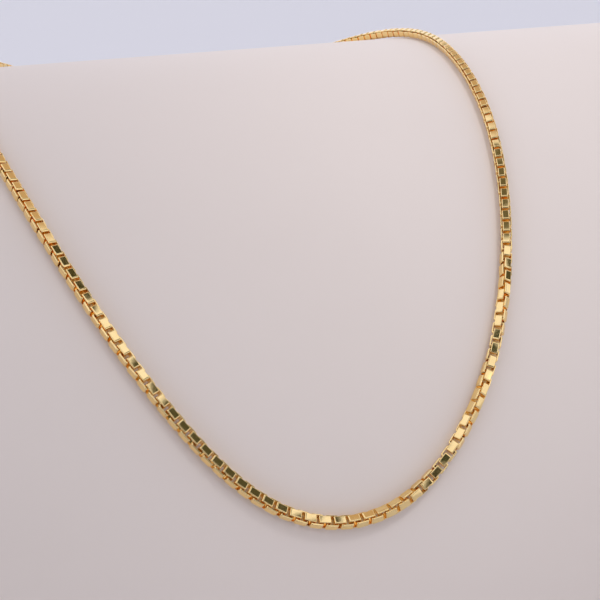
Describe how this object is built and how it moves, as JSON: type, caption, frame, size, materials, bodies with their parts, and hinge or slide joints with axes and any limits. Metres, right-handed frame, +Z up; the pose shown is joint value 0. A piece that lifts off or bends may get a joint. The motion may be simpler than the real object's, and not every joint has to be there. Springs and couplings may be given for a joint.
{
  "type": "box chain necklace on a rounded display",
  "caption": "Gold box chain necklace of square interlocking links, lying as a closed loop over a plain half-round display block.",
  "frame": {"origin": "middle of the flat base of the display, on the surface that it stands on", "axes": "+X to the right across the display, -Y towards its front where the chain hangs lowest, +Z up"},
  "size_m": [0.21, 0.18, 0.0921],
  "materials": {
    "display": "smooth matt pinkish white",
    "gold": "polished yellow gold"
  },
  "bodies": {
    "root": {"display": "display", "chain_front": "gold", "chain_back": "gold", "clasp": "gold"}
  },
  "joints": []
}
